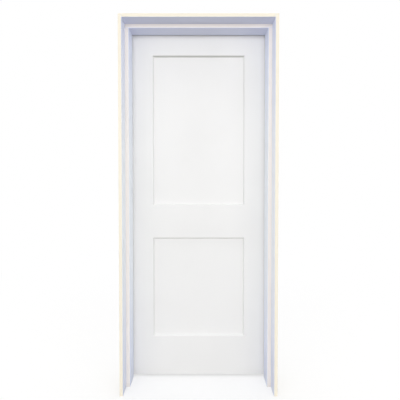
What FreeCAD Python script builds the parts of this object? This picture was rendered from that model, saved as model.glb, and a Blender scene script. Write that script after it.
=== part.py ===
import FreeCAD, Part
import Sketcher
import math
import os
from types import SimpleNamespace

# A two-panel shaker door hung in its jamb.
# Millimetres. +X runs from the hinge jamb to the lock jamb, +Y to the side the door opens to, +Z up.
# The origin is on the hinge jamb's outer face, at the floor, in the middle of the jamb's depth.

SIZES = {
    # The slab: two stiles, three rails and two flat panels
    "slab_width": 813.0,
    "slab_height": 2032.0,
    "slab_thickness": 35.0,
    "stile_width": 135.0,
    "top_rail_width": 132.0,
    "middle_rail_width": 195.0,
    "bottom_rail_width": 230.0,
    "lower_panel_opening": 592.0,
    "lock_edge_bevel": 1.8,
    "slab_arris": 1.0,
    # The sloped edge round each panel, and the groove behind it
    "slope_width": 6.0,
    "slope_lip": 2.0,
    "groove_depth": 12.0,
    "panel_thickness": 12.0,
    "panel_play": 1.5,
    "tenon_play": 1.0,
    # The jamb and its stops
    "jamb_thickness": 19.0,
    "jamb_depth": 192.0,
    "jamb_arris": 1.5,
    "stop_thickness": 22.0,
    "stop_width": 83.0,
    "stop_arris": 2.0,
    # The gaps round the closed slab
    "side_gap": 5.0,
    "head_gap": 5.0,
    "floor_gap": 12.0,
    "stop_gap": 5.0,
    # The butt hinges
    "leaf_height": 89.0,
    "leaf_thickness": 2.5,
    "leaf_inset": 28.5,
    "leaf_corner_radius": 6.4,
    "gain_play": 0.2,
    "upper_hinge_margin": 178.0,
    "lower_hinge_margin": 279.0,
    "pin_offset": 10.0,
    "pin_radius": 3.0,
    "pin_play": 0.05,
    "pin_head_radius": 5.0,
    "pin_head_height": 2.5,
    "pin_tail": 2.0,
    "knuckle_radius": 6.5,
    "knuckle_gap": 0.3,
    "knuckle_clearance": 0.8,
    "screw_hole_radius": 1.8,
    "screw_head_radius": 4.4,
    "screw_end_margin": 14.0,
    "screw_near_margin": 8.0,
    "screw_stagger": 10.0,
}
COUNTERSINK_ANGLE = 90.0
KNUCKLES = 5
HINGES = ("lower", "middle", "upper")


class Length:
    """A length with its value and the formula that works it out from the sheet."""

    def __init__(self, value, formula):
        self.value = value
        self.formula = formula

    def joined(self, other, sign, value):
        text = other.formula if isinstance(other, Length) else str(other)
        return Length(value, f"({self.formula} {sign} {text})")

    def __add__(self, other):
        return self.joined(other, "+", self.value + number(other))

    def __sub__(self, other):
        return self.joined(other, "-", self.value - number(other))

    def __mul__(self, other):
        return self.joined(other, "*", self.value * number(other))

    def __truediv__(self, other):
        return self.joined(other, "/", self.value / number(other))


def number(length):
    """Return the value of a length or a plain number."""
    return length.value if isinstance(length, Length) else length


def make_sheet(document):
    """Write every size in a named cell, and return the sizes as lengths tied to those cells."""
    sheet = document.addObject("Spreadsheet::Sheet", "Sizes")
    for row, (alias, value) in enumerate(SIZES.items(), start=1):
        sheet.set(f"A{row}", alias)
        sheet.set(f"B{row}", str(value))
        sheet.setAlias(f"B{row}", alias)
    document.recompute()
    return SimpleNamespace(**{alias: Length(value, f"Sizes.{alias}") for alias, value in SIZES.items()})


def bind(thing, path, length):
    """Tie one property of an object to the sheet."""
    thing.setExpression(path, length.formula)


def add_body(label, x, y, z):
    """Start a piece and place its own origin in the door's frame."""
    body = doc.addObject("PartDesign::Body", label)
    body.Label = label
    for path, place in (("x", x), ("y", y), ("z", z)):
        bind(body, f"Placement.Base.{path}", place)
    return body


def origin_feature(body, role):
    """Return one of the body's own planes or axes."""
    return next(item for item in body.Origin.OriginFeatures if item.Role == role)


def add_sketch(body, name, plane, height=None):
    """Start a sketch on one of the body's planes, lifted off it by a height."""
    sketch = body.newObject("Sketcher::SketchObject", name)
    sketch.AttachmentSupport = [(origin_feature(body, plane), "")]
    sketch.MapMode = "FlatFace"
    if height is not None:
        bind(sketch, "AttachmentOffset.Base.z", height)
    return sketch


def fix_point(sketch, geometry, end, x, y):
    """Tie one end or centre of a curve to its two distances from the sketch's origin."""
    for kind, place in (("DistanceX", x), ("DistanceY", y)):
        index = sketch.addConstraint(Sketcher.Constraint(kind, -1, 1, geometry, end, place.value))
        bind(sketch, f"Constraints[{index}]", place)


def heading(start, end):
    """Return the direction from one corner to another along an axis, as two whole numbers."""
    step_x = end[0].value - start[0].value
    step_y = end[1].value - start[1].value
    if abs(step_x) > abs(step_y):
        return int(math.copysign(1, step_x)), 0
    return 0, int(math.copysign(1, step_y))


def draw_outline(sketch, corners):
    """Draw a closed outline. A corner is (x, y), or (x, y, radius) where two straight edges are rounded."""
    ends = []
    for index, corner in enumerate(corners):
        if len(corner) == 2:
            ends.append((corner, corner, None))
            continue
        x, y, radius = corner
        back = heading(corner, corners[index - 1])
        ahead = heading(corner, corners[(index + 1) % len(corners)])
        entry = (x + radius * back[0], y + radius * back[1])
        leave = (x + radius * ahead[0], y + radius * ahead[1])
        centre = (x + radius * (back[0] + ahead[0]), y + radius * (back[1] + ahead[1]))
        ends.append((entry, leave, (centre, radius, back[0] * ahead[1] - back[1] * ahead[0])))
    for index, (entry, leave, arc) in enumerate(ends):
        if arc:
            draw_corner(sketch, entry, leave, *arc)
        following = ends[(index + 1) % len(ends)][0]
        line = sketch.addGeometry(Part.LineSegment(point(leave), point(following)))
        fix_point(sketch, line, 1, *leave)
        fix_point(sketch, line, 2, *following)


def draw_corner(sketch, entry, leave, centre, radius, turn):
    """Draw the quarter circle of one rounded corner."""
    first, last = (leave, entry) if turn > 0 else (entry, leave)
    spokes = [point(end) - point(centre) for end in (first, last)]
    angles = [math.atan2(spoke.y, spoke.x) for spoke in spokes]
    circle = Part.Circle(point(centre), FreeCAD.Vector(0, 0, 1), radius.value)
    arc = sketch.addGeometry(Part.ArcOfCircle(circle, *angles))
    fix_point(sketch, arc, 1, *first)
    fix_point(sketch, arc, 2, *last)
    index = sketch.addConstraint(Sketcher.Constraint("Radius", arc, radius.value))
    bind(sketch, f"Constraints[{index}]", radius)


def draw_circle(sketch, x, y, radius):
    """Draw a circle tied to the sheet by its centre and radius."""
    circle = sketch.addGeometry(Part.Circle(point((x, y)), FreeCAD.Vector(0, 0, 1), radius.value))
    fix_point(sketch, circle, 3, x, y)
    index = sketch.addConstraint(Sketcher.Constraint("Radius", circle, radius.value))
    bind(sketch, f"Constraints[{index}]", radius)


def point(place):
    """Return the vector of a place in a sketch."""
    return FreeCAD.Vector(place[0].value, place[1].value, 0)


def pad(body, sketch, length, name="Pad"):
    """Raise a sketch by a length along its normal."""
    feature = body.newObject("PartDesign::Pad", name)
    feature.Profile = sketch
    bind(feature, "Length", length)
    return feature


def pocket(body, sketch, depth=None, towards_normal=False, name="Pocket"):
    """Cut a sketch into the piece, through all of it where no depth is given."""
    feature = body.newObject("PartDesign::Pocket", name)
    feature.Profile = sketch
    feature.Reversed = towards_normal
    if depth is None:
        feature.Type = "ThroughAll"
        feature.Midplane = True
    else:
        bind(feature, "Length", depth)
    return feature


def repeat_upwards(body, features, reach, count, name="Repeat"):
    """Repeat features along the body's vertical axis, the last copy one reach above the first."""
    pattern = body.newObject("PartDesign::LinearPattern", name)
    pattern.Originals = features
    pattern.Direction = (origin_feature(body, "Z_Axis"), [""])
    pattern.Occurrences = count
    bind(pattern, "Length", reach)
    body.Tip = pattern
    return pattern


def make_stile(label, x, side):
    """A stile: its outer edge at the body's origin, its grooved edge towards the panels."""
    body = add_body(label, x, slab_front, slab_bottom)
    inner = size.stile_width * side
    lip = (size.stile_width + size.slope_width) * side
    groove = (size.stile_width + size.slope_width - size.groove_depth) * side
    edge_front = zero if side > 0 else size.lock_edge_bevel * side
    arris = size.slab_arris
    sketch = add_sketch(body, "Section", "XY_Plane")
    draw_outline(sketch, [
        (edge_front, arris),
        (edge_front + arris * side, zero),
        (inner, zero),
        (lip, recess - size.slope_lip),
        (lip, recess),
        (groove, recess),
        (groove, far_recess),
        (lip, far_recess),
        (lip, far_recess + size.slope_lip),
        (inner, size.slab_thickness),
        (arris * side, size.slab_thickness),
        (zero, size.slab_thickness - arris),
    ])
    pad(body, sketch, size.slab_height)
    return body


def make_rail(label, z, width, grooved_below, grooved_above):
    """A rail: stub tenons at its ends, coped over the stiles' slopes, grooved where a panel meets it."""
    body = add_body(label, rail_left, slab_front, z)
    corners = []
    for grooved, edge, side in ((grooved_below, zero, -1), (grooved_above, width, 1)):
        run = [(zero, edge), (size.slab_thickness, edge)]
        if grooved:
            lip = edge + size.slope_width * side
            groove = edge + (size.slope_width - size.groove_depth) * side
            run[1:1] = [
                (recess - size.slope_lip, lip),
                (recess, lip),
                (recess, groove),
                (far_recess, groove),
                (far_recess, lip),
                (far_recess + size.slope_lip, lip),
            ]
        corners += run if side < 0 else run[::-1]
    sketch = add_sketch(body, "Section", "YZ_Plane")
    draw_outline(sketch, corners)
    pad(body, sketch, rail_length)

    sketch = add_sketch(body, "Copes", "XY_Plane")
    for end, along in ((zero, 1), (rail_length, -1)):
        face_edge = end + (tenon_length - size.slope_width) * along
        lip_edge = end + tenon_length * along
        for face, inward in ((zero, 1), (size.slab_thickness, -1)):
            draw_outline(sketch, [
                (end, face),
                (face_edge, face),
                (lip_edge, face + (recess - size.slope_lip) * inward),
                (lip_edge, face + recess * inward),
                (end, face + recess * inward),
            ])
    pocket(body, sketch)
    return body


def make_panel(label, z, opening):
    """A flat panel, let into the grooves on all four sides."""
    reach = size.groove_depth - size.slope_width - size.panel_play
    left = slab_left + size.stile_width - reach
    body = add_body(label, left, slab_front + recess, z - reach)
    sketch = add_sketch(body, "Section", "XY_Plane")
    width = size.slab_width - size.stile_width * 2 + reach * 2
    draw_outline(sketch, [
        (zero, zero),
        (width, zero),
        (width, size.panel_thickness),
        (zero, size.panel_thickness),
    ])
    pad(body, sketch, opening + reach * 2)
    return body


def eased_board(thickness, width, arris, side):
    """The section of a board that lies along the sketch's height, its face's two edges cut to an arris."""
    face = thickness * side
    shoulder = (thickness - arris) * side
    return [
        (zero, zero),
        (shoulder, zero),
        (face, arris),
        (face, width - arris),
        (shoulder, width),
        (zero, width),
    ]


def make_side_jamb(label, x, side):
    """A side jamb, from the floor to the top of the head jamb."""
    body = add_body(label, x, frame_front, zero)
    sketch = add_sketch(body, "Section", "XY_Plane")
    draw_outline(sketch, eased_board(size.jamb_thickness, size.jamb_depth, size.jamb_arris, side))
    pad(body, sketch, opening_height + size.jamb_thickness)
    return body


def make_head_jamb():
    """The head jamb, nailed between the side jambs."""
    body = add_body("head_jamb", size.jamb_thickness, frame_front, opening_height + size.jamb_thickness)
    sketch = add_sketch(body, "Section", "YZ_Plane")
    corners = eased_board(size.jamb_thickness, size.jamb_depth, size.jamb_arris, -1)
    draw_outline(sketch, [(across, along) for along, across in corners])
    pad(body, sketch, opening_width)
    return body


def make_side_stop(label, x, side):
    """A stop planted on a side jamb, under the head stop."""
    body = add_body(label, x, stop_front, zero)
    sketch = add_sketch(body, "Section", "XY_Plane")
    draw_outline(sketch, eased_board(size.stop_thickness, size.stop_width, size.stop_arris, side))
    pad(body, sketch, opening_height - size.stop_thickness)
    return body


def make_head_stop():
    """The stop planted under the head jamb, from side jamb to side jamb."""
    body = add_body("head_stop", size.jamb_thickness, stop_front, opening_height)
    sketch = add_sketch(body, "Section", "YZ_Plane")
    corners = eased_board(size.stop_thickness, size.stop_width, size.stop_arris, -1)
    draw_outline(sketch, [(across, along) for along, across in corners])
    pad(body, sketch, opening_width)
    return body


def cut_gains(body, face, depth, lowest, into_normal):
    """Cut the three shallow gains that the hinge leaves lie in."""
    sketch = add_sketch(body, "Gain", "YZ_Plane", face)
    inner = depth - size.leaf_inset - size.gain_play
    low = lowest - size.gain_play
    high = lowest + size.leaf_height + size.gain_play
    corner = size.leaf_corner_radius + size.gain_play
    draw_outline(sketch, [(depth, low), (depth, high), (inner, high, corner), (inner, low, corner)])
    gain = pocket(body, sketch, size.leaf_thickness, into_normal, "GainCut")
    repeat_upwards(body, [gain], hinge_reach, len(HINGES), "Gains")


def make_leaf(label, z, side, first_knuckle):
    """A hinge leaf. Its origin is on the pin's line, and side is -1 on the jamb and 1 on the slab."""
    body = add_body(label, pin_x, pin_y, z)
    seat = (size.side_gap / 2 + size.leaf_thickness) * side
    face = size.side_gap / 2 * side
    inner = zero - size.pin_offset - size.leaf_inset
    edge = zero - size.knuckle_radius - size.knuckle_clearance

    sketch = add_sketch(body, "Plate", "YZ_Plane", seat if side < 0 else face)
    corner = size.leaf_corner_radius
    draw_outline(sketch, [
        (edge, zero),
        (edge, size.leaf_height),
        (inner, size.leaf_height, corner),
        (inner, zero, corner),
    ])
    pad(body, sketch, size.leaf_thickness, "PlatePad")

    start = knuckle_pitch * first_knuckle + size.knuckle_gap / 2
    sketch = add_sketch(body, "Web", "XY_Plane", start)
    draw_outline(sketch, [(seat, edge), (face, edge), (face, zero), (seat, zero)])
    web = pad(body, sketch, knuckle_pitch - size.knuckle_gap, "WebPad")
    sketch = add_sketch(body, "Knuckle", "XY_Plane", start)
    draw_circle(sketch, zero, zero, size.knuckle_radius)
    knuckle = pad(body, sketch, knuckle_pitch - size.knuckle_gap, "KnucklePad")
    count = (KNUCKLES + 1) // 2 - first_knuckle
    repeat_upwards(body, [web, knuckle], knuckle_pitch * (2 * (count - 1)), count, "Knuckles")

    sketch = add_sketch(body, "Bore", "XY_Plane")
    draw_circle(sketch, zero, zero, size.pin_radius + size.pin_play)
    pocket(body, sketch, name="BoreCut")

    doc.recompute()
    sketch = add_sketch(body, "Screws", "YZ_Plane", face)
    near = inner + size.screw_near_margin
    for along, across in (
        (size.screw_end_margin, near),
        (size.leaf_height / 2, near + size.screw_stagger),
        (size.leaf_height - size.screw_end_margin, near),
    ):
        draw_circle(sketch, across, along, size.screw_hole_radius)
    holes = body.newObject("PartDesign::Hole", "ScrewHoles")
    holes.Profile = sketch
    holes.DepthType = "ThroughAll"
    holes.HoleCutType = "Countersink"
    holes.HoleCutCountersinkAngle = COUNTERSINK_ANGLE
    holes.Reversed = side > 0
    bind(holes, "Diameter", size.screw_hole_radius * 2)
    bind(holes, "HoleCutDiameter", size.screw_head_radius * 2)
    return body


def make_pin(label, z):
    """A hinge pin with a flat head, turned about its own axis."""
    body = add_body(label, pin_x, pin_y, z)
    sketch = add_sketch(body, "HalfSection", "XZ_Plane")
    top = size.leaf_height + size.pin_head_height
    draw_outline(sketch, [
        (zero, zero - size.pin_tail),
        (size.pin_radius, zero - size.pin_tail),
        (size.pin_radius, size.leaf_height),
        (size.pin_head_radius, size.leaf_height),
        (size.pin_head_radius, top),
        (zero, top),
    ])
    turned = body.newObject("PartDesign::Revolution", "Turned")
    turned.Profile = sketch
    turned.ReferenceAxis = (sketch, ["V_Axis"])
    turned.Angle = 360.0
    return body


doc = FreeCAD.newDocument("Door")
size = make_sheet(doc)
zero = Length(0.0, "0")

# Places that follow from the sizes
opening_width = size.slab_width + size.side_gap * 2
opening_height = size.floor_gap + size.slab_height + size.head_gap
frame_width = opening_width + size.jamb_thickness * 2
frame_front = zero - size.jamb_depth / 2
frame_back = size.jamb_depth / 2
slab_left = size.jamb_thickness + size.side_gap
slab_front = frame_back - size.slab_thickness
slab_bottom = size.floor_gap
stop_front = slab_front - size.stop_gap - size.stop_width
recess = (size.slab_thickness - size.panel_thickness) / 2
far_recess = recess + size.panel_thickness
tenon_length = size.groove_depth - size.tenon_play
rail_left = slab_left + size.stile_width + size.slope_width - tenon_length
rail_length = size.slab_width - (size.stile_width + size.slope_width - tenon_length) * 2
lower_opening_bottom = slab_bottom + size.bottom_rail_width
middle_rail_bottom = lower_opening_bottom + size.lower_panel_opening
upper_opening_bottom = middle_rail_bottom + size.middle_rail_width
top_rail_bottom = slab_bottom + size.slab_height - size.top_rail_width
upper_panel_opening = top_rail_bottom - upper_opening_bottom
pin_x = size.jamb_thickness + size.side_gap / 2
pin_y = frame_back + size.pin_offset
knuckle_pitch = size.leaf_height / KNUCKLES
lowest_hinge = slab_bottom + size.lower_hinge_margin
hinge_reach = size.slab_height - size.lower_hinge_margin - size.upper_hinge_margin - size.leaf_height

pieces = []

# The jamb and its stops
hinge_jamb = make_side_jamb("hinge_jamb", zero, 1)
cut_gains(hinge_jamb, size.jamb_thickness, size.jamb_depth, lowest_hinge, False)
pieces += [hinge_jamb, make_side_jamb("lock_jamb", frame_width, -1), make_head_jamb()]
pieces += [
    make_side_stop("hinge_stop", size.jamb_thickness, 1),
    make_side_stop("lock_stop", size.jamb_thickness + opening_width, -1),
    make_head_stop(),
]

# The slab
hinge_stile = make_stile("hinge_stile", slab_left, 1)
cut_gains(hinge_stile, zero, size.slab_thickness, size.lower_hinge_margin, True)
pieces += [hinge_stile, make_stile("lock_stile", slab_left + size.slab_width, -1)]
pieces += [
    make_rail("top_rail", top_rail_bottom, size.top_rail_width, True, False),
    make_rail("middle_rail", middle_rail_bottom, size.middle_rail_width, True, True),
    make_rail("bottom_rail", slab_bottom, size.bottom_rail_width, False, True),
    make_panel("upper_panel", upper_opening_bottom, upper_panel_opening),
    make_panel("lower_panel", lower_opening_bottom, size.lower_panel_opening),
]

# The hinges
for number_up, hinge in enumerate(HINGES):
    height = lowest_hinge + hinge_reach * number_up / (len(HINGES) - 1)
    pieces += [
        make_leaf(f"{hinge}_hinge_frame_leaf", height, -1, 0),
        make_leaf(f"{hinge}_hinge_door_leaf", height, 1, 1),
        make_pin(f"{hinge}_hinge_pin", height),
    ]

doc.recompute()
for item in doc.Objects:
    if "Invalid" in item.State or "Error" in item.State:
        raise SystemExit(f"{item.Label} did not build: {item.State}")
os.makedirs("parts", exist_ok=True)
for piece in pieces:
    shape = piece.Shape
    if shape.isNull() or not shape.isValid() or len(shape.Solids) != 1:
        raise SystemExit(f"{piece.Label} is not one sound solid")
    print(f"{piece.Label}: {shape.Volume / 1000:.1f} cm3")
    shape.exportStep(f"parts/{piece.Label}.step")
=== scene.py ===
import math

import bmesh
import bpy
from mathutils import Matrix, Vector


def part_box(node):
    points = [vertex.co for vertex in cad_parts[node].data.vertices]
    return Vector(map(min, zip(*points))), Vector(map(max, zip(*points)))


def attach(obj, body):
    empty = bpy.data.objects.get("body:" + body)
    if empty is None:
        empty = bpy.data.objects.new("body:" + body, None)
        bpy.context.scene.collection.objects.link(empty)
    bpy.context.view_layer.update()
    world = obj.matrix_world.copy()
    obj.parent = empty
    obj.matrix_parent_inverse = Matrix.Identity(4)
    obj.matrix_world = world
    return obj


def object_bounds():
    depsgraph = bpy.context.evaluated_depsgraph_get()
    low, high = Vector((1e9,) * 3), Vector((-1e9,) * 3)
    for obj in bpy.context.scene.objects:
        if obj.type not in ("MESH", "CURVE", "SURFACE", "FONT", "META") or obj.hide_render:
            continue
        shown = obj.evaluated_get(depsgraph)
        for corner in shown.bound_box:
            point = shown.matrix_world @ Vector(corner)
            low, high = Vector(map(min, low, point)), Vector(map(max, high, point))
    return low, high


# The looks of a shaker door in its jamb. Metres, +Z up; the viewer stands on the stop side, towards -Y.

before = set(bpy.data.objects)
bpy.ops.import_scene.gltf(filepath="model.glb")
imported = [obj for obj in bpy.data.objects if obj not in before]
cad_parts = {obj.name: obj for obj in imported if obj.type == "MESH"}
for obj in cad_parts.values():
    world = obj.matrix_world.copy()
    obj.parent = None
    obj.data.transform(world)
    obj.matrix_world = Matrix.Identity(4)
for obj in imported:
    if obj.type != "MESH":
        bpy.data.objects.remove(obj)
cad_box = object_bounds()
low, high = cad_box
middle = (low + high) / 2

# Where the viewer stands. The lens and its sensor are in millimetres, and the rise of the framing is a
# share of the picture.
VIEW_DISTANCE = 1.5
EYE_HEIGHT = 1.2
EYE_RIGHT_OF_MIDDLE = 0.008
TILT_DOWN = math.radians(1.0)
SENSOR_WIDTH = 36.0
LENS = 25.1
RISE_OF_FRAMING = -0.047

# A countersunk wood screw with a cross recess
SCREW_HEAD_RADIUS = 0.0043
SCREW_HEAD_DEPTH = 0.0025
SCREW_SHANK_RADIUS = 0.0017
SCREW_SHANK_END = 0.013
SCREW_POINT = 0.016
SCREW_RIM = 0.00018
SCREW_RIM_STEPS = 2
SCREW_SIDES = 28
CROSS_HALF_LENGTH = 0.0023
CROSS_HALF_WIDTH = 0.00042
CROSS_DEPTH = 0.0015
CROSS_TAPER = 0.45
CUT_TOLERANCE = 1e-7

# Where the screws sit in a leaf, and how each is left turned
SCREW_SINK = 0.0001
SCREW_END_MARGIN = 0.014
SCREW_NEAR_MARGIN = 0.008
SCREW_STAGGER = 0.010
SCREW_TURN_STEP = math.radians(37.0)
SCREW_TURN_PER_METRE = 1.0
PIN_TO_LEAF_FACE = 0.0025

# Paint and metal colours, linear
CREAM = (0.930, 0.870, 0.730)
PINKISH = (0.955, 0.900, 0.855)
# Painted blue shade on the jambs' and stops' faces towards the opening: lighter at mid-height, deeper at
# the ends, deepest under the head
PAINTED_SHADE_AT_MIDDLE = (0.905, 0.945, 1.000)
PAINTED_SHADE_AT_ENDS = (0.810, 0.855, 1.000)
PAINTED_SHADE_UNDER_HEAD = (0.820, 0.845, 1.000)
SLAB_WHITE = (0.858, 0.853, 0.844)
SLAB_SHADE = (0.838, 0.833, 0.824)
# Painted shade for the slab's slopes under the rails, which face down
PAINTED_SLOPE_SHADE = (0.660, 0.650, 0.620)
NICKEL = (0.620, 0.600, 0.570)

# Patterns in the finishes: how much each axis counts, then how fine, detailed and rough a pattern is
EVEN = (1.0, 1.0, 1.0)
ALONG_GRAIN = {"up": (1.0, 1.0, 0.03), "level": (0.03, 1.0, 1.0)}
ALONG_BRUSHING = (1.0, 1.0, 0.02)
WOOD_GRAIN = (260.0, 4.0, 0.6)
ORANGE_PEEL = (500.0, 2.0, 0.5)
GLOSS_SWEEP = (3.0, 2.0, 0.5)
METAL_BRUSHING = (2600.0, 3.0, 0.6)
METAL_CLOUD = (60.0, 2.0, 0.5)

# Relief of a pattern: its strength, and its height in metres
GRAIN_RELIEF = (0.15, 0.0001)
PEEL_RELIEF = (0.25, 0.00004)
BRUSHING_RELIEF = (0.15, 0.00005)

# Paint: the band of a pattern's values over which it shows, and what it leads from and to
GLOSS_BAND = (0.3, 0.7)
TONE_BAND = (0.35, 0.75)
GRAIN_BAND = (0.35, 0.65)
PAINT_ROUGHNESS = (0.42, 0.52)
PAINT_SPECULAR = 0.35
SLAB_GRAIN_SHARE = (0.0, 0.25)
JAMB_GRAIN_SHARE = (0.0, 0.5)
JAMB_GRAIN_SHADE = 0.93

# Where the painted shade sets in: by how far a face turns down or towards the opening, and by metres from
# mid-height
SHADE_DOWNWARDS_BAND = (0.35, 0.6)
SHADE_INWARDS_BAND = (0.35, 0.5)
PAINTED_SHADE_DEEPENING_BAND = (0.2, 1.0)

# Metal: the bands of its brushing and its cloud, and what they do to its colour and roughness
BRUSHING_BAND = (0.3, 0.7)
BRUSHING_SHADE = 0.86
BRUSHING_SHARE = 0.8
BRUSHING_ROUGHNESS = 0.12
CLOUD_BAND = (0.3, 0.7)
METAL_ROUGHNESS = (0.26, 0.34)

# Lamps: the place of each, measured across from the door's middle, and its power in watts
SOFTBOX_WIDTH = 6.4
SOFTBOX_TALL = 4.2
SOFTBOXES = {
    "front_softbox": ((0.0, -9.9, 2.4), 268.0),
    "left_softbox": ((-6.0, -7.8, 2.0), 158.0),
    "right_softbox": ((6.0, -7.8, 2.0), 158.0),
    "back_softbox": ((0.0, 10.0, 1.4), 450.0),
}

# Sky and floor. The floor's tone is what it throws back on the door, and the rest is how it is seen.
SKY_LEVEL = 0.81
SEEN_LEVEL = 1.0
WHITE = (1.0, 1.0, 1.0, 1.0)
FLOOR_RADIUS = 14.0
FLOOR_SIDES = 96
FLOOR_ROUGHNESS = 0.8
FLOOR_TONE_NEAR = 0.22
FLOOR_TONE_FAR = 0.11
FLOOR_TONE_REACH = 2.5
FLOOR_SHOWN = (0.50, 0.50, 0.50, 1.0)
FLOOR_SHOWN_GLOW = 0.52
FLOOR_FADE = (1.2, 3.0)


def add(tree, kind, **settings):
    """Add a node. A setting named in capitals is a socket's value, with underscores for spaces."""
    node = tree.nodes.new(kind)
    for name, value in settings.items():
        if name[0].isupper():
            node.inputs[name.replace("_", " ")].default_value = value
        else:
            setattr(node, name, value)
    return node


def join(tree, source, target):
    """Link one socket to another."""
    tree.links.new(source, target)


def maths(tree, operation, first, second=0.0):
    """Return the result of a sum on sockets or numbers."""
    node = add(tree, "ShaderNodeMath", operation=operation)
    for socket, value in zip(node.inputs, (first, second)):
        if isinstance(value, (int, float)):
            socket.default_value = value
        else:
            join(tree, value, socket)
    return node.outputs[0]


def ramp(tree, value, start, end, to_start=0.0, to_end=1.0):
    """Map a value from one range to another, smoothly and no further than its ends."""
    node = add(tree, "ShaderNodeMapRange", interpolation_type="SMOOTHSTEP", From_Min=start, From_Max=end)
    node.inputs["To Min"].default_value = to_start
    node.inputs["To Max"].default_value = to_end
    join(tree, value, node.inputs["Value"])
    return node.outputs["Result"]


def blend(tree, share, first, second):
    """Mix two colours, each a socket or three numbers."""
    node = add(tree, "ShaderNodeMix", data_type="RGBA")
    # The node has sockets for numbers and vectors too, and those for colours come after them
    for socket, colour in zip(node.inputs[6:8], (first, second)):
        if isinstance(colour, tuple):
            socket.default_value = (*colour, 1.0)
        else:
            join(tree, colour, socket)
    join(tree, share, node.inputs[0])
    return node.outputs[2]


def mixed(tree, share, first, second):
    """Mix two shaders' nodes, and return the node that mixes them."""
    node = add(tree, "ShaderNodeMixShader")
    join(tree, share, node.inputs[0])
    join(tree, first.outputs[0], node.inputs[1])
    join(tree, second.outputs[0], node.inputs[2])
    return node


def noise(tree, place, stretch, scale, detail, roughness):
    """Return the value of a noise, which runs long where an axis counts for less."""
    mapping = add(tree, "ShaderNodeMapping")
    mapping.inputs["Scale"].default_value = stretch
    join(tree, place, mapping.inputs["Vector"])
    node = add(tree, "ShaderNodeTexNoise", Scale=scale, Detail=detail, Roughness=roughness)
    join(tree, mapping.outputs[0], node.inputs["Vector"])
    return node.outputs["Fac"]


def relief(tree, shader, layers):
    """Stack bumps, each (pattern, strength, height), and feed them to the shader."""
    normal = None
    for pattern, strength, height in layers:
        bump = add(tree, "ShaderNodeBump", Strength=strength, Distance=height)
        join(tree, pattern, bump.inputs["Height"])
        if normal:
            join(tree, normal, bump.inputs["Normal"])
        normal = bump.outputs["Normal"]
    join(tree, normal, shader.inputs["Normal"])


def facing(tree, place, way):
    """How far the surface faces a way: 1 straight towards it, 0 square to it."""
    node = add(tree, "ShaderNodeVectorMath", operation="DOT_PRODUCT")
    join(tree, place.outputs["Normal"], node.inputs[0])
    node.inputs[1].default_value = way
    return node.outputs["Value"]


def new_finish(name):
    """Start a material, and return it with its tree, its shader and its texture coordinates."""
    material = bpy.data.materials.new(name)
    material.use_nodes = True
    tree = material.node_tree
    shader = tree.nodes["Principled BSDF"]
    place = add(tree, "ShaderNodeTexCoord")
    return material, tree, shader, place


def paint_film(tree, shader, where, along):
    """The skin of sprayed paint over wood: a fine orange peel, a ghost of the grain and an uneven gloss."""
    grain = noise(tree, where, ALONG_GRAIN[along], *WOOD_GRAIN)
    peel = noise(tree, where, EVEN, *ORANGE_PEEL)
    sweep = noise(tree, where, EVEN, *GLOSS_SWEEP)
    relief(tree, shader, [(grain, *GRAIN_RELIEF), (peel, *PEEL_RELIEF)])
    join(tree, ramp(tree, sweep, *GLOSS_BAND, *PAINT_ROUGHNESS), shader.inputs["Roughness"])
    shader.inputs["Specular IOR Level"].default_value = PAINT_SPECULAR
    return grain, sweep


def slab_paint_with_painted_shade(name, along):
    """White semi-gloss paint on the slab, with painted shade on the slopes under the rails, which face
    down.
    """
    material, tree, shader, place = new_finish(name)
    grain, sweep = paint_film(tree, shader, place.outputs["Object"], along)
    tone = blend(tree, ramp(tree, sweep, *TONE_BAND), SLAB_WHITE, SLAB_SHADE)
    faint = ramp(tree, grain, *GRAIN_BAND, *SLAB_GRAIN_SHARE)
    flat = blend(tree, faint, tone, SLAB_SHADE)
    # Painted shade: the slopes that face down are greyer
    shade_downwards = ramp(tree, facing(tree, place, (0, 0, -1)), *SHADE_DOWNWARDS_BAND)
    join(tree, blend(tree, shade_downwards, flat, PAINTED_SLOPE_SHADE), shader.inputs["Base Color"])
    return material


def jamb_paint_with_painted_shade(name, warm, painted_shade, inward, along):
    """Satin primer on the jamb: warm where it faces a room or the wall, with painted blue shade where it
    faces the opening.

    The painted shade's two colours are the one at mid-height and the one at the ends.
    """
    material, tree, shader, place = new_finish(name)
    grain, sweep = paint_film(tree, shader, place.outputs["Object"], along)
    spot = add(tree, "ShaderNodeSeparateXYZ")
    join(tree, place.outputs["Object"], spot.inputs[0])
    from_middle = maths(tree, "ABSOLUTE", maths(tree, "SUBTRACT", spot.outputs["Z"], middle.z))
    # Painted shade: blue, lighter at mid-height and deeper towards the top and bottom
    shaded = blend(tree, ramp(tree, from_middle, *PAINTED_SHADE_DEEPENING_BAND), *painted_shade)
    faint = ramp(tree, grain, *GRAIN_BAND, *JAMB_GRAIN_SHARE)
    lit = blend(tree, faint, warm, tuple(part * JAMB_GRAIN_SHADE for part in warm))
    # Faces that turn towards the opening take the painted shade in place of the warm primer
    shade_inwards = ramp(tree, facing(tree, place, inward), *SHADE_INWARDS_BAND)
    join(tree, blend(tree, shade_inwards, lit, shaded), shader.inputs["Base Color"])
    return material


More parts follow.
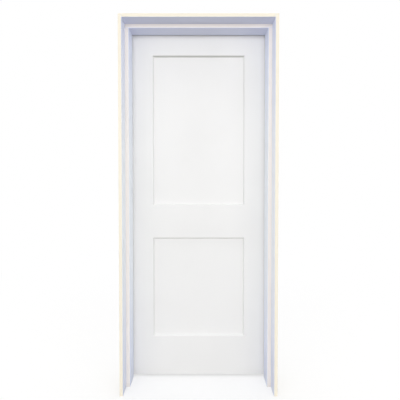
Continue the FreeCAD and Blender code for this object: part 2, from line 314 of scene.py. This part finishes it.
def satin_nickel(name):
    """Satin nickel, brushed along its height."""
    material, tree, shader, place = new_finish(name)
    brushing = noise(tree, place.outputs["Object"], ALONG_BRUSHING, *METAL_BRUSHING)
    cloud = noise(tree, place.outputs["Object"], EVEN, *METAL_CLOUD)
    shader.inputs["Metallic"].default_value = 1.0
    streaks = ramp(tree, brushing, *BRUSHING_BAND)
    darker = tuple(part * BRUSHING_SHADE for part in NICKEL)
    tone = blend(tree, maths(tree, "MULTIPLY", streaks, BRUSHING_SHARE), NICKEL, darker)
    join(tree, tone, shader.inputs["Base Color"])
    cloudy = ramp(tree, cloud, *CLOUD_BAND, *METAL_ROUGHNESS)
    rough = maths(tree, "ADD", cloudy, maths(tree, "MULTIPLY", streaks, BRUSHING_ROUGHNESS))
    join(tree, rough, shader.inputs["Roughness"])
    relief(tree, shader, [(brushing, *BRUSHING_RELIEF)])
    return material


def finish_node(name, material):
    """Give a piece of the frame its finish."""
    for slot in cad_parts[name].material_slots:
        slot.material = material


def finish_jamb():
    """Paint the side and head jambs and their stops, with painted blue shade on the faces towards the
    opening.
    """
    for kind, warm in (("jamb", CREAM), ("stop", PINKISH)):
        for side, inward in (("hinge", (1, 0, 0)), ("lock", (-1, 0, 0))):
            paint = jamb_paint_with_painted_shade(f"{side}_{kind}_paint", warm, (PAINTED_SHADE_AT_MIDDLE, PAINTED_SHADE_AT_ENDS), inward, "up")
            finish_node(f"{side}_{kind}", paint)
        # Under the head the painted shade is one deeper blue all along
        paint = jamb_paint_with_painted_shade(f"head_{kind}_paint", warm, (PAINTED_SHADE_UNDER_HEAD, PAINTED_SHADE_UNDER_HEAD), (0, 0, -1), "level")
        finish_node(f"head_{kind}", paint)


def finish_slab():
    """Paint the slab, with the grain's ghost along each piece and painted shade on its slopes that face
    down.
    """
    upright_slab = slab_paint_with_painted_shade("upright_slab_paint", "up")
    level_slab = slab_paint_with_painted_shade("level_slab_paint", "level")
    for node in ("hinge_stile", "lock_stile", "upper_panel", "lower_panel"):
        finish_node(node, upright_slab)
    for node in ("top_rail", "middle_rail", "bottom_rail"):
        finish_node(node, level_slab)


def cross_recess(bm):
    """Cut the cross recess into the flat top of a screw's head."""
    for axis in (Vector((1, 0, 0)), Vector((0, 1, 0))):
        for offset in (-CROSS_HALF_LENGTH, -CROSS_HALF_WIDTH, CROSS_HALF_WIDTH, CROSS_HALF_LENGTH):
            everything = bm.verts[:] + bm.edges[:] + bm.faces[:]
            cut_at = axis * offset
            bmesh.ops.bisect_plane(bm, geom=everything, dist=CUT_TOLERANCE, plane_co=cut_at, plane_no=axis)
    inside = []
    for face in bm.faces:
        near, far = sorted(abs(part) for part in face.calc_center_median()[:2])
        if near < CROSS_HALF_WIDTH and far < CROSS_HALF_LENGTH:
            inside.append(face)
    sunk = bmesh.ops.extrude_face_region(bm, geom=inside)["geom"]
    for corner in (item for item in sunk if isinstance(item, bmesh.types.BMVert)):
        corner.co = Vector((corner.co.x * CROSS_TAPER, corner.co.y * CROSS_TAPER, -CROSS_DEPTH))
    bmesh.ops.delete(bm, geom=inside, context="FACES")


def draw_in(bm, edges, radius, depth):
    """Draw an open ring of edges down to a radius and a depth, and return the new ring."""
    drawn = bmesh.ops.extrude_edge_only(bm, edges=edges)["geom"]
    for corner in (item for item in drawn if isinstance(item, bmesh.types.BMVert)):
        flat = Vector((corner.co.x, corner.co.y, 0.0)).normalized() * radius
        corner.co = Vector((flat.x, flat.y, -depth))
    return [item for item in drawn if isinstance(item, bmesh.types.BMEdge)]


def screw_mesh():
    """One countersunk wood screw, its head's top on the origin and its point down -Z."""
    bm = bmesh.new()
    bmesh.ops.create_circle(bm, cap_ends=True, segments=SCREW_SIDES, radius=SCREW_HEAD_RADIUS)
    cross_recess(bm)
    rim = [edge for edge in bm.edges if edge.is_boundary]
    ring = draw_in(bm, rim, SCREW_SHANK_RADIUS, SCREW_HEAD_DEPTH)
    ring = draw_in(bm, ring, SCREW_SHANK_RADIUS, SCREW_SHANK_END)
    ring = draw_in(bm, ring, SCREW_SHANK_RADIUS, SCREW_POINT)
    tip = dict.fromkeys(corner for edge in ring for corner in edge.verts)
    bmesh.ops.pointmerge(bm, verts=list(tip), merge_co=Vector((0, 0, -SCREW_POINT)))
    bmesh.ops.bevel(bm, geom=rim, offset=SCREW_RIM, segments=SCREW_RIM_STEPS, profile=0.5,
                    affect="EDGES", material=-1)
    bmesh.ops.recalc_face_normals(bm, faces=bm.faces[:])
    # An extrusion puts its faces in another order at each run, so they are sorted by their place
    by_place = sorted(bm.faces, key=lambda face: [round(part, 6) for part in face.calc_center_median()])
    for count, face in enumerate(by_place):
        face.index = count
    bm.faces.sort()
    mesh = bpy.data.meshes.new("screw")
    bm.to_mesh(mesh)
    bm.free()
    return mesh


def screws_of_leaf(leaf, screw, towards):
    """Join a leaf's three screws in one mesh. towards is 1 where the leaf faces +X, and -1 where -X."""
    start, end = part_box(leaf)
    pin_line = (start.x + end.x) / 2
    top_of_head = pin_line - towards * PIN_TO_LEAF_FACE - towards * SCREW_SINK
    near = start.y + SCREW_NEAR_MARGIN
    places = [
        (near, start.z + SCREW_END_MARGIN),
        (near + SCREW_STAGGER, (start.z + end.z) / 2),
        (near, end.z - SCREW_END_MARGIN),
    ]
    bm = bmesh.new()
    for count, (depth, height) in enumerate(places):
        before = set(bm.verts)
        bm.from_mesh(screw)
        spun = Matrix.Rotation(count * SCREW_TURN_STEP + height * SCREW_TURN_PER_METRE, 4, "Z")
        laid = Matrix.Rotation(towards * math.pi / 2, 4, "Y")
        spot = Matrix.Translation((top_of_head, depth, height))
        added = [item for item in bm.verts if item not in before]
        bmesh.ops.transform(bm, matrix=spot @ laid @ spun, verts=added)
    mesh = bpy.data.meshes.new(leaf.replace("leaf", "screws"))
    bm.to_mesh(mesh)
    bm.free()
    return mesh


def add_screws(finish):
    """Put the screws into every leaf of the hinges."""
    screw = screw_mesh()
    for height in ("lower", "middle", "upper"):
        for body, towards in (("frame", 1), ("door", -1)):
            mesh = screws_of_leaf(f"{height}_hinge_{body}_leaf", screw, towards)
            mesh.materials.append(finish)
            piece = bpy.data.objects.new(mesh.name, mesh)
            bpy.context.scene.collection.objects.link(piece)
            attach(piece, body)
    bpy.data.meshes.remove(screw)


def finish_hinges():
    """Plate the leaves and the pins, and screw the leaves down."""
    nickel = satin_nickel("satin_nickel")
    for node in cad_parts:
        if "_hinge_" in node:
            finish_node(node, nickel)
    add_screws(nickel)


def shown_share(tree):
    """The share of rays that see the bright backdrop: the camera's, and those of gloss and glass."""
    path = add(tree, "ShaderNodeLightPath")
    seen = maths(tree, "ADD", path.outputs["Is Camera Ray"], path.outputs["Is Glossy Ray"])
    return maths(tree, "MINIMUM", maths(tree, "ADD", seen, path.outputs["Is Transmission Ray"]), 1.0)


def floor_finish():
    """A pale floor that shows a soft shadow near the door and fades into the white backdrop farther off."""
    material, tree, shader, place = new_finish("pale_floor")
    reach = add(tree, "ShaderNodeVectorMath", operation="LENGTH")
    join(tree, place.outputs["Object"], reach.inputs[0])
    distance = reach.outputs["Value"]
    shader.inputs["Roughness"].default_value = FLOOR_ROUGHNESS
    tone = ramp(tree, distance, 0.0, FLOOR_TONE_REACH, FLOOR_TONE_NEAR, FLOOR_TONE_FAR)
    join(tree, tone, shader.inputs["Base Color"])

    pale = add(tree, "ShaderNodeBsdfDiffuse", Color=FLOOR_SHOWN)
    glow = add(tree, "ShaderNodeEmission", Color=WHITE, Strength=FLOOR_SHOWN_GLOW)
    near = add(tree, "ShaderNodeAddShader")
    join(tree, pale.outputs[0], near.inputs[0])
    join(tree, glow.outputs[0], near.inputs[1])
    far = add(tree, "ShaderNodeEmission", Color=WHITE, Strength=SEEN_LEVEL)
    shown = mixed(tree, ramp(tree, distance, *FLOOR_FADE), near, far)
    surface = mixed(tree, shown_share(tree), shader, shown)
    join(tree, surface.outputs[0], tree.nodes["Material Output"].inputs["Surface"])
    return material


def lay_floor():
    """Lay a plain pale floor under the door."""
    bm = bmesh.new()
    bmesh.ops.create_circle(bm, cap_ends=True, segments=FLOOR_SIDES, radius=FLOOR_RADIUS)
    mesh = bpy.data.meshes.new("floor")
    bm.to_mesh(mesh)
    bm.free()
    mesh.materials.append(floor_finish())
    floor = bpy.data.objects.new("floor", mesh)
    floor.location = (middle.x, 0.0, low.z)
    bpy.context.scene.collection.objects.link(floor)


def light_sky():
    """A plain even sky for light, and a white one for what is seen."""
    world = bpy.data.worlds.new("studio")
    bpy.context.scene.world = world
    world.use_nodes = True
    tree = world.node_tree
    light = add(tree, "ShaderNodeBackground", Color=WHITE, Strength=SKY_LEVEL)
    shown = add(tree, "ShaderNodeBackground", Color=WHITE, Strength=SEEN_LEVEL)
    sky = mixed(tree, shown_share(tree), light, shown)
    join(tree, sky.outputs[0], tree.nodes["World Output"].inputs["Surface"])


def hang_softbox(name, place, power):
    """A wide soft lamp that faces the middle of the door."""
    lamp = bpy.data.lights.new(name, "AREA")
    lamp.shape = "RECTANGLE"
    lamp.size = SOFTBOX_WIDTH
    lamp.size_y = SOFTBOX_TALL
    lamp.energy = power
    holder = bpy.data.objects.new(name, lamp)
    holder.location = place
    holder.rotation_euler = (middle - place).to_track_quat("-Z", "Y").to_euler()
    holder.visible_camera = False
    bpy.context.scene.collection.objects.link(holder)


def light_studio():
    """An even sky, three wide softboxes round the front of the door and one behind it."""
    light_sky()
    for name, ((across, depth, height), power) in SOFTBOXES.items():
        hang_softbox(name, Vector((middle.x + across, depth, height)), power)


def place_camera():
    """A camera where the viewer stands."""
    lens = bpy.data.cameras.new("viewer")
    lens.sensor_width = SENSOR_WIDTH
    lens.lens = LENS
    lens.shift_y = RISE_OF_FRAMING
    camera = bpy.data.objects.new("viewer", lens)
    camera.location = (middle.x + EYE_RIGHT_OF_MIDDLE, low.y - VIEW_DISTANCE, EYE_HEIGHT)
    camera.rotation_euler = (math.pi / 2 - TILT_DOWN, 0.0, 0.0)
    bpy.context.scene.collection.objects.link(camera)
    bpy.context.scene.camera = camera


finish_jamb()
finish_slab()
finish_hinges()
lay_floor()
light_studio()
place_camera()

bpy.context.scene.view_settings.view_transform = "Standard"
